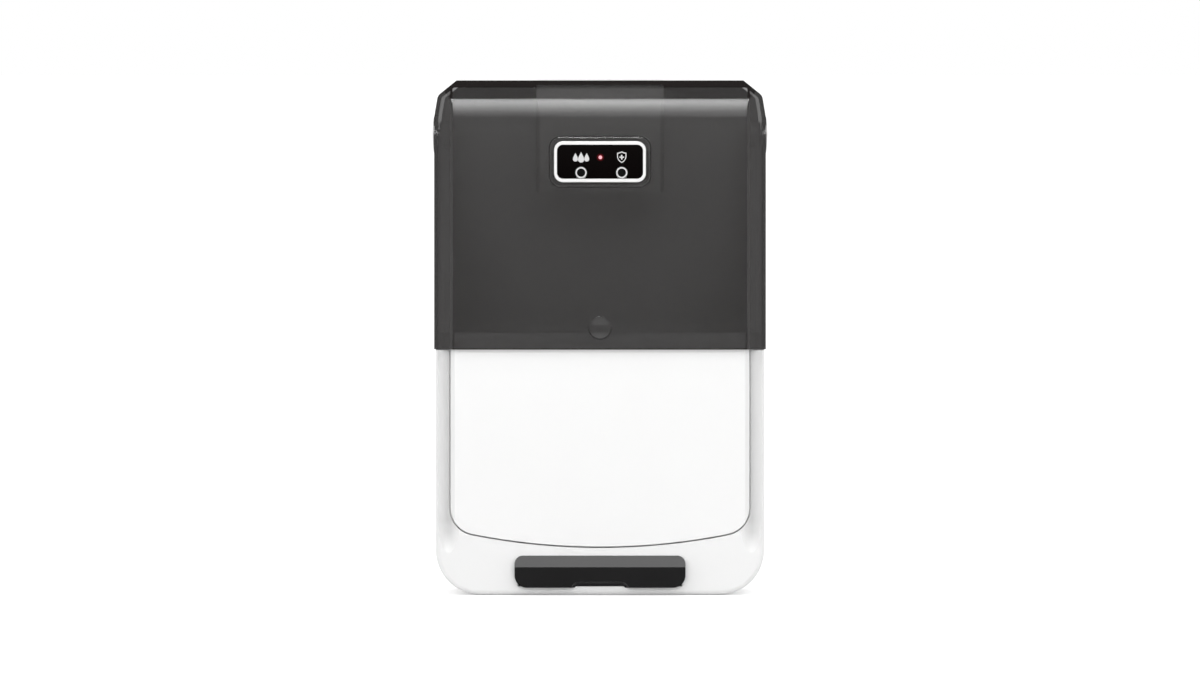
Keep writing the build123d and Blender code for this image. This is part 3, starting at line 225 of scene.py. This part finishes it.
def from_spot(tree, place, x, z, half=(0.0, 0.0)):
    """How far a place on the front lies from a spot, or from a rectangle about it."""
    squares = []
    for axis, middle, reach in (("X", x, half[0]), ("Z", z, half[1])):
        aside = math_node(tree, "ABSOLUTE", math_node(tree, "SUBTRACT", place[axis], middle), 0.0)
        aside = math_node(tree, "MAXIMUM", math_node(tree, "SUBTRACT", aside, reach), 0.0)
        squares.append(math_node(tree, "MULTIPLY", aside, aside))
    return math_node(tree, "SQRT", math_node(tree, "ADD", squares[0], squares[1]), 0.0)


def painted_shade_at_front_rims(tree, place, low):
    """Painted shade where the front's raised forms turn: the thumb boss's lower rim and the bezel's
    outline.
    """
    thumb_z = low.z + THUMB_HEIGHT
    reach = math_node(tree, "MULTIPLY", from_spot(tree, place, 0.0, thumb_z), CENTIMETRES)
    rim = [
        (THUMB_RADIUS - THUMB_EDGE, 0.0), (THUMB_RADIUS - THUMB_EDGE / 2, 1.0),
        (THUMB_RADIUS, 0.8), (THUMB_RADIUS + THUMB_EDGE / 4, 0.0),
    ]
    boss = ramp(tree, reach, [(radius * CENTIMETRES, dark) for radius, dark in rim])
    # Painted shade: only the boss's lower half is darkened, where shade falls under it.
    below = math_node(tree, "SUBTRACT", thumb_z + THUMB_RADIUS / 2, place["Z"])
    below = math_node(tree, "MULTIPLY", below, CENTIMETRES)
    lower = ramp(tree, below, [(0.0, 0.0), (0.6 * THUMB_RADIUS * CENTIMETRES, 0.85)])
    boss = math_node(tree, "MULTIPLY", boss, lower)
    panel_low, panel_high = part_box("control_panel")
    straight = [half - BEZEL_CORNER for half in BEZEL_HALF]
    bezel = from_spot(tree, place, 0.0, (panel_low.z + panel_high.z) / 2, straight)
    bezel = between(tree, bezel, BEZEL_CORNER - BEZEL_LINE, BEZEL_CORNER + BEZEL_LINE)
    rims = math_node(tree, "MAXIMUM", boss, math_node(tree, "MULTIPLY", bezel, BEZEL_DARK))
    return math_node(tree, "MULTIPLY", rims, math_node(tree, "LESS_THAN", place["Y"], low.y + FORM_DEPTH))


def thick_edges_and_painted_shade(tree):
    """Where the lid is seen through the length of its plastic: its rims, its ridges and its top edge; with
    painted shade at the front's raised forms.
    """
    low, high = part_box("lid_shell")
    axis = sum(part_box("hinge_pin_right"), Vector()) / 2
    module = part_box("module_housing")[1]
    place = split(tree, "Object")
    aside = math_node(tree, "ABSOLUTE", place["X"], 0.0)
    slope = math_node(tree, "ABSOLUTE", split(tree, "Normal")["Y"], 0.0)
    rear = math_node(tree, "GREATER_THAN", place["Y"], axis.y - RIM)
    under = math_node(tree, "LESS_THAN", place["Z"], low.z + RIM / 2)
    rims = math_node(tree, "MAXIMUM", rear, under)
    top = math_node(tree, "GREATER_THAN", place["Z"], high.z - TOP_EDGE)
    top = math_node(tree, "MULTIPLY", top, math_node(tree, "GREATER_THAN", slope, TOP_SLOPE))
    beside = math_node(tree, "GREATER_THAN", aside, module.x)
    above = math_node(tree, "GREATER_THAN", place["Z"], module.z)
    top = math_node(tree, "MULTIPLY", top, math_node(tree, "MAXIMUM", beside, above))
    front = math_node(tree, "LESS_THAN", place["Y"], low.y + FRONT_DEPTH)
    ridge = between(tree, aside, high.x - RIDGE[0], high.x - RIDGE[1])
    ridge = math_node(tree, "MULTIPLY", ridge, front)
    flank = math_node(tree, "GREATER_THAN", aside, high.x - RIDGE[1])
    flank = math_node(tree, "MULTIPLY", math_node(tree, "MULTIPLY", front, flank), FLANK)
    edges = math_node(tree, "MAXIMUM", math_node(tree, "MAXIMUM", rims, flank), top)
    edges = math_node(tree, "MAXIMUM", edges, ridge)
    return math_node(tree, "MAXIMUM", edges, painted_shade_at_front_rims(tree, place, low))


def over_module(tree):
    """One all over the lid but less where its top bevel lies close before the module."""
    place = split(tree, "Object")
    aside = math_node(tree, "ABSOLUTE", place["X"], 0.0)
    zone = math_node(tree, "LESS_THAN", aside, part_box("module_housing")[1].x)
    zone = math_node(tree, "MULTIPLY", zone, math_node(tree, "GREATER_THAN", place["Z"], BEVEL_FOOT))
    return math_node(tree, "SUBTRACT", 1.0, math_node(tree, "MULTIPLY", zone, BEVEL_CLEAR))


def smoked(name, colour, clear, dark, hinged=False):
    """Smoked clear plastic: polished and see-through, darker where it is seen aslant or through an edge."""
    material, tree, shader = new_material(name)
    clouds = noise(tree, 9, 2.0)
    pale, deep = spread(colour, 0.06)
    tree.links.new(ramp(tree, clouds, [(0.3, pale), (0.7, deep)]), shader.inputs["Base Color"])
    rough = ramp(tree, noise(tree, 90, 3.0), [(0.35, 0.035), (0.75, 0.06)])
    tree.links.new(rough, shader.inputs["Roughness"])
    facing = tree.nodes.new("ShaderNodeLayerWeight")
    facing.inputs["Blend"].default_value = 0.5
    stops = [(0.0, clear), (0.5, clear + 0.12), (0.92, dark)]
    alpha = ramp(tree, facing.outputs["Facing"], stops)
    if hinged:
        alpha = math_node(tree, "MULTIPLY", alpha, over_module(tree))
        # Painted shade at the thumb boss and the bezel comes in with these edges.
        edges = math_node(tree, "MULTIPLY", thick_edges_and_painted_shade(tree), EDGE_DARK)
        alpha = math_node(tree, "MAXIMUM", alpha, edges)
    tree.links.new(alpha, shader.inputs["Alpha"])
    shader.inputs["IOR"].default_value = 1.5
    return material


def circuit_board(name):
    """Green solder mask over thin copper tracks."""
    material, tree, shader = new_material(name)
    bricks = add(tree, "ShaderNodeTexBrick", Scale=260.0)
    bricks.inputs["Color1"].default_value = (0.012, 0.10, 0.045, 1)
    bricks.inputs["Color2"].default_value = (0.016, 0.13, 0.055, 1)
    bricks.inputs["Mortar"].default_value = (0.035, 0.22, 0.10, 1)
    bricks.inputs["Mortar Size"].default_value = 0.03
    tree.links.new(object_coordinates(tree), bricks.inputs["Vector"])
    tree.links.new(bricks.outputs["Color"], shader.inputs["Base Color"])
    tree.links.new(ramp(tree, noise(tree, 300), [(0.3, 0.25), (0.7, 0.4)]), shader.inputs["Roughness"])
    bump(tree, shader, bricks.outputs["Fac"], 0.00004, 0.5)
    return material


def lamp_lens(name, colour, strength):
    """A small lens that glows, brightest in its middle."""
    material, tree, shader = new_material(name)
    grain = noise(tree, 900, 2.0)
    low, high = spread(colour, 0.15)
    tint = ramp(tree, grain, [(0.3, low), (0.7, high)])
    tree.links.new(tint, shader.inputs["Base Color"])
    tree.links.new(tint, shader.inputs["Emission Color"])
    shader.inputs["Emission Strength"].default_value = strength
    shader.inputs["Roughness"].default_value = 0.2
    return material


def halo_around(material, lamp, colour):
    """A dim glow that spreads in a dark panel round a lamp."""
    tree = material.node_tree
    shader = tree.nodes["Principled BSDF"]
    low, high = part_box(lamp)
    reach = from_spot(tree, split(tree, "Object"), (low.x + high.x) / 2, (low.z + high.z) / 2)
    fading = ramp(tree, math_node(tree, "DIVIDE", reach, HALO), [(0.35, colour), (1.0, (0, 0, 0))])
    tree.links.new(fading, shader.inputs["Emission Color"])
    shader.inputs["Emission Strength"].default_value = 1.0


def paint_cove_shade(material):
    """Painted shade: darkens the white in the two grooves beside the front panel, towards their bottoms."""
    tree = material.node_tree
    shader = tree.nodes["Principled BSDF"]
    low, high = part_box("housing")
    place = split(tree, "Object")
    aside = math_node(tree, "ABSOLUTE", place["X"], 0.0)
    inward = math_node(tree, "SUBTRACT", high.x, aside)
    inward = math_node(tree, "DIVIDE", inward, 2 * (high.x - PANEL_HALF))
    # Painted shade over each cove's width, darkest just outside the panel's edge.
    stops = [(0.0, 1.0), (0.15, 0.93), (0.28, 0.82), (0.4, 0.70), (0.5, 0.72), (0.68, 0.94), (0.85, 1.0)]
    painted_cove_shade = ramp(tree, inward, stops)
    fade = tree.nodes.new("ShaderNodeMapRange")
    fade.inputs["From Min"].default_value, fade.inputs["From Max"].default_value = COVE_ENDS
    tree.links.new(place["Z"], fade.inputs["Value"])
    front = math_node(tree, "LESS_THAN", place["Y"], low.y + COVE_REACH)
    colour = shader.inputs["Base Color"].links[0].from_socket
    shaded = tree.nodes.new("ShaderNodeMix")
    shaded.data_type = "RGBA"
    shaded.blend_type = "MULTIPLY"
    amount = math_node(tree, "MULTIPLY", fade.outputs["Result"], front)
    tree.links.new(amount, shaded.inputs["Factor"])
    tree.links.new(colour, shaded.inputs["A"])
    tree.links.new(painted_cove_shade, shaded.inputs["B"])
    tree.links.new(shaded.outputs["Result"], shader.inputs["Base Color"])


WHITE = plastic("white_abs", (0.89, 0.89, 0.888), 0.42, grain=0.000004)
BODY_WHITE_PAINTED_SHADE = plastic("white_body_painted_shade", (0.89, 0.89, 0.888), 0.5, grain=0.000004, specular=0.2)
# Painted shade darkens the body's white in the two coves.
paint_cove_shade(BODY_WHITE_PAINTED_SHADE)
LINER = plastic("white_liner", (0.80, 0.80, 0.79), 0.4, grain=0.00001)
MODULE_WHITE = plastic("module_abs", (0.84, 0.84, 0.83), 0.45, grain=0.00001)
RING = plastic("ring_abs", (0.94, 0.94, 0.93), 0.18, grain=0.000003)
SMOKED = smoked("smoked_polycarbonate", (0.014, 0.011, 0.0105), 0.47, 0.96, hinged=True)
CAP = plastic("dark_cap", (0.022, 0.019, 0.019), 0.24, grain=0.000002, variation=0.08, specular=1.0)
PANEL = plastic(
    "black_acrylic", (0.0022, 0.0012, 0.0012), 0.06, grain=0.000001, variation=0.1, specular=0.1
)
# Painted glow: the dark panel gives off a dim light round the indicator lamp.
halo_around(PANEL, "indicator_lens", (0.16, 0.008, 0.012))
KEY = plastic("black_key", (0.003, 0.003, 0.003), 0.12, grain=0.000002, variation=0.1, specular=0.15)
PRINT = plastic("pale_print", (0.62, 0.62, 0.62), 0.4, grain=0.000004)
TRAY = plastic("grey_tray", (0.007, 0.0068, 0.007), 0.22, grain=0.00001, variation=0.08, specular=0.125)
COVER = plastic("cover_abs", (0.80, 0.80, 0.79), 0.5, grain=0.00004, grain_scale=1600)
ACETAL = plastic("acetal", (0.72, 0.70, 0.64), 0.35)
BLACK_NYLON = plastic("black_nylon", (0.02, 0.02, 0.021), 0.45, grain=0.00003, variation=0.1)
CERAMIC = plastic("lamp_ceramic", (0.75, 0.68, 0.42), 0.3)
WRAP = plastic("cell_film", (0.02, 0.08, 0.26), 0.22, variation=0.05)
STEEL = metal("zinc_steel", (0.56, 0.56, 0.57), 0.32)
SHAFT = metal("ground_steel", (0.62, 0.62, 0.63), 0.18)
SPRING = metal("spring_steel", (0.42, 0.42, 0.43), 0.3)
BOARD = circuit_board("circuit_board")
QUARTZ = smoked("quartz", (0.75, 0.82, 0.88), 0.12, 0.6)
LENS = lamp_lens("indicator_lens", (0.72, 0.3, 0.34), 0.5)

FINISH = {
    "housing": BODY_WHITE_PAINTED_SHADE, "hinge_bracket_right": LINER, "hinge_bracket_left": LINER, "hinge_cowl": WHITE,
    "tray_guide": LINER, "rear_cover": COVER, "rear_cover_screws": STEEL, "wall_bracket": STEEL,
    "hinge_bush_right": ACETAL, "hinge_bush_left": ACETAL,
    "friction_washer_right": SPRING, "friction_washer_left": SPRING,
    "lid_shell": SMOKED, "hinge_pin_right": SHAFT, "hinge_pin_left": SHAFT,
    "pivot_cap_right": CAP, "pivot_cap_left": CAP,
    "module_housing": MODULE_WHITE, "module_base": MODULE_WHITE, "module_screws": STEEL,
    "trim_ring": RING, "control_panel": PANEL, "key_dry": KEY, "key_sterilize": KEY,
    "indicator_lens": LENS, "main_board": BOARD, "key_switches": BLACK_NYLON,
    "fan_frame": BLACK_NYLON, "fan_rotor": BLACK_NYLON, "fan_screws": STEEL,
    "uv_board": BOARD, "uv_leds": CERAMIC, "uv_window": QUARTZ,
    "battery_cell": WRAP, "battery_holder": BLACK_NYLON, "charging_port": STEEL,
    "utensil_box": WHITE, "divider_left": LINER, "divider_right": LINER, "drain_plate": LINER,
    "drip_tray": TRAY,
}
for name, node in nodes.items():
    node.data.materials.clear()
    node.data.materials.append(FINISH[name])


# ---- printed marks on the panel ----
def inlay(name, rings, y, body):
    """A thin printed form that faces the front, from closed outlines of X and Z; later ones are holes."""
    mesh = bpy.data.meshes.new(name)
    form = bmesh.new()
    edges = []
    for ring in rings:
        corners = [form.verts.new((x, y, z)) for x, z in ring]
        edges += [form.edges.new((a, b)) for a, b in zip(corners, corners[1:] + corners[:1])]
    bmesh.ops.triangle_fill(form, use_beauty=True, edges=edges, normal=(0, -1, 0))
    bmesh.ops.recalc_face_normals(form, faces=form.faces)
    form.to_mesh(mesh)
    form.free()
    piece = bpy.data.objects.new(name, mesh)
    scene.collection.objects.link(piece)
    thick = piece.modifiers.new("thickness", "SOLIDIFY")
    thick.thickness = PRINT_THICKNESS
    thick.offset = 0.0
    mesh.materials.append(PRINT)
    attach(piece, body)


def circle(x, z, radius, count=48):
    """Points round a circle."""
    steps = [2 * math.pi * i / count for i in range(count)]
    return [(x + radius * math.cos(a), z + radius * math.sin(a)) for a in steps]


def drop(x, z, size):
    """Points round a water drop that stands on its round end."""
    points = []
    for i in range(40):
        a = 2 * math.pi * i / 40
        lean = math.sin(a / 2) ** 1.6
        points.append((x + 0.42 * size * math.sin(a) * lean, z + 0.5 * size * math.cos(a)))
    return points


def shield(x, z, size):
    """Points round a plain shield."""
    right = [(0.0, 0.5), (0.2, 0.42), (0.4, 0.38), (0.4, 0.0), (0.33, -0.2), (0.2, -0.37), (0.0, -0.5)]
    outline = right + [(-a, b) for a, b in reversed(right[1:-1])]
    return [(x + size * a, z + size * b) for a, b in outline]


def plus(x, z, size, width):
    """Points round a plus sign."""
    far, near = size / 2, width / 2
    corners = [(near, far), (near, near), (far, near), (far, -near), (near, -near), (near, -far)]
    outline = corners + [(-a, -b) for a, b in corners]
    return [(x + a, z + b) for a, b in outline]


def middle_of(name):
    """The middle of a node's box."""
    low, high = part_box(name)
    return (low + high) / 2


panel_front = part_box("control_panel")[0].y - PRINT_THICKNESS / 2
mark_z = middle_of("control_panel").z + MARK_RAISE
for name, body in (("key_dry", "key_dry_body"), ("key_sterilize", "key_sterilize_body")):
    low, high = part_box(name)
    spot = middle_of(name)
    radius = (high.x - low.x) / 2 - KEY_RIM
    rings = [circle(spot.x, spot.z, radius), circle(spot.x, spot.z, radius - KEY_RING)]
    inlay(f"{name}_ring", rings, low.y - PRINT_THICKNESS / 2, body)

dry_x = middle_of("key_dry").x
clean_x = middle_of("key_sterilize").x
for i, (offset, size) in enumerate(DROPS):
    inlay(f"dry_mark_{i}", [drop(dry_x + offset, mark_z, size)], panel_front, "lid_body")
outlines = [shield(clean_x, mark_z, size) for size in SHIELD_SIZES]
inlay("clean_mark_shield", outlines, panel_front, "lid_body")
inlay("clean_mark_plus", [plus(clean_x, mark_z, *PLUS_SIZE)], panel_front, "lid_body")


# ---- floor, world and lamps ----
def seen_rays(tree, names):
    """One where a ray is of any of the named kinds, else nought."""
    rays = tree.nodes.new("ShaderNodeLightPath")
    total = rays.outputs[names[0]]
    for name in names[1:]:
        total = math_node(tree, "MAXIMUM", total, rays.outputs[name])
    return total


def stage_plane(name, corners, faces=((0, 1, 2, 3),)):
    """A mesh that belongs to the stage, with its own material to fill in."""
    mesh = bpy.data.meshes.new(name)
    mesh.from_pydata(corners, [], faces)
    plane = bpy.data.objects.new(name, mesh)
    scene.collection.objects.link(plane)
    plane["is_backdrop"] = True
    material, tree, shader = new_material(name)
    mesh.materials.append(material)
    return plane, tree, shader


def make_floor():
    """A pale matt floor that looks nearly white and keeps the object's shadow."""
    height = cad_low.z - FLOOR_DROP
    corners = [(x * FLOOR_REACH, y * FLOOR_REACH, height) for x, y in ((-1, -1), (1, -1), (1, 1), (-1, 1))]
    tree, shader = stage_plane("floor", corners)[1:]
    shader.inputs["Base Color"].default_value = (0.82, 0.82, 0.82, 1)
    shader.inputs["Roughness"].default_value = 0.9
    shader.inputs["Specular IOR Level"].default_value = 0.0
    shader.inputs["Emission Color"].default_value = (1, 1, 1, 1)
    seen = seen_rays(tree, ["Is Camera Ray", "Is Glossy Ray", "Is Transmission Ray"])
    tree.links.new(math_node(tree, "MULTIPLY", seen, FLOOR_GLOW), shader.inputs["Emission Strength"])


def make_world():
    """A soft white studio, white where it is seen and darker overhead where gloss mirrors it."""
    world = bpy.data.worlds.new("studio")
    scene.world = world
    world.use_nodes = True
    tree = world.node_tree
    background = tree.nodes["Background"]
    background.inputs["Color"].default_value = (1, 1, 1, 1)
    overhead = ramp(tree, split(tree, "Generated")["Z"], [(0.35, 1.0), (0.85, OVERHEAD_DARK)])
    mirrored = tree.nodes.new("ShaderNodeMix")
    mirrored.inputs["A"].default_value = SOFT_LIGHT
    tree.links.new(seen_rays(tree, ["Is Glossy Ray"]), mirrored.inputs["Factor"])
    tree.links.new(overhead, mirrored.inputs["B"])
    strength = tree.nodes.new("ShaderNodeMix")
    strength.inputs["B"].default_value = 1.0
    seen = seen_rays(tree, ["Is Camera Ray", "Is Transmission Ray"])
    tree.links.new(seen, strength.inputs["Factor"])
    tree.links.new(mirrored.outputs["Result"], strength.inputs["A"])
    tree.links.new(strength.outputs["Result"], background.inputs["Strength"])


def make_screen():
    """A curved screen in front, brighter towards its top, that only gloss mirrors."""
    corners = []
    for i in range(SCREEN_ROWS + 1):
        rise = SCREEN_LOW + (SCREEN_HIGH - SCREEN_LOW) * i / SCREEN_ROWS
        y = -SCREEN_DISTANCE * math.cos(rise)
        z = middle.z + SCREEN_DISTANCE * math.sin(rise)
        corners += [(-SCREEN_HALF, y, z), (SCREEN_HALF, y, z)]
    faces = [(2 * i, 2 * i + 1, 2 * i + 3, 2 * i + 2) for i in range(SCREEN_ROWS)]
    screen, tree, shader = stage_plane("soft_screen", corners, faces)
    screen.visible_camera = False
    screen.visible_diffuse = False
    shader.inputs["Base Color"].default_value = (0, 0, 0, 1)
    shader.inputs["Specular IOR Level"].default_value = 0.0
    shader.inputs["Emission Color"].default_value = (1, 1, 1, 1)
    rise = tree.nodes.new("ShaderNodeMapRange")
    rise.inputs["From Min"].default_value = middle.z
    rise.inputs["From Max"].default_value = middle.z + SCREEN_DISTANCE
    tree.links.new(split(tree, "Object")["Z"], rise.inputs["Value"])
    stops = [(0.03, 0.004), (0.18, 0.25), (0.32, 0.62), (0.42, 1.0), (0.6, 1.0), (0.86, 0.8)]
    glow = math_node(tree, "MULTIPLY", ramp(tree, rise.outputs["Result"], stops), SCREEN_GLOW)
    tree.links.new(glow, shader.inputs["Emission Strength"])


def soft_box(name, place, size, power):
    """A rectangular area lamp that points at the object's middle and that gloss doesn't mirror."""
    lamp = bpy.data.lights.new(name, "AREA")
    lamp.shape = "RECTANGLE"
    lamp.size, lamp.size_y = size
    lamp.energy = power
    lamp_object = bpy.data.objects.new(name, lamp)
    lamp_object.location = place
    direction = middle - Vector(place)
    lamp_object.rotation_euler = direction.to_track_quat("-Z", "Y").to_euler()
    lamp_object.visible_camera = False
    lamp_object.visible_glossy = False
    scene.collection.objects.link(lamp_object)


middle = Vector((0, 0, (cad_low.z + cad_high.z) / 2))
make_floor()
make_world()
make_screen()
soft_box("front_light", (0, -2.4, 1.1), (2.0, 1.0), FRONT_POWER)
soft_box("right_light", (2.0, -0.8, 1.5), (0.6, 0.6), SIDE_POWER)
soft_box("left_light", (-2.0, -0.8, 1.5), (0.6, 0.6), SIDE_POWER)
soft_box("rear_light", (0.6, 2.4, 1.2), (1.2, 1.2), SIDE_POWER)

# ---- camera ----
# One of the photograph's pixels is METRES_PER_PIXEL, and the object stands at its row BASE_ROW.
aim = Vector((0, cad_low.y, (BASE_ROW - PHOTO_SIZE[1] / 2) * METRES_PER_PIXEL))
camera_data = bpy.data.cameras.new("camera")
camera_data.sensor_width = SENSOR
camera_data.lens = SENSOR * CAMERA_DISTANCE / (PHOTO_SIZE[0] * METRES_PER_PIXEL)
camera_data.clip_end = 100.0
camera = bpy.data.objects.new("camera", camera_data)
back = Vector((0, -math.cos(CAMERA_RISE), math.sin(CAMERA_RISE)))
camera.location = aim + CAMERA_DISTANCE * back
camera.rotation_euler = (math.pi / 2 - CAMERA_RISE, 0, 0)
scene.collection.objects.link(camera)
scene.camera = camera
scene.view_settings.view_transform = "Standard"

low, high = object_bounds()
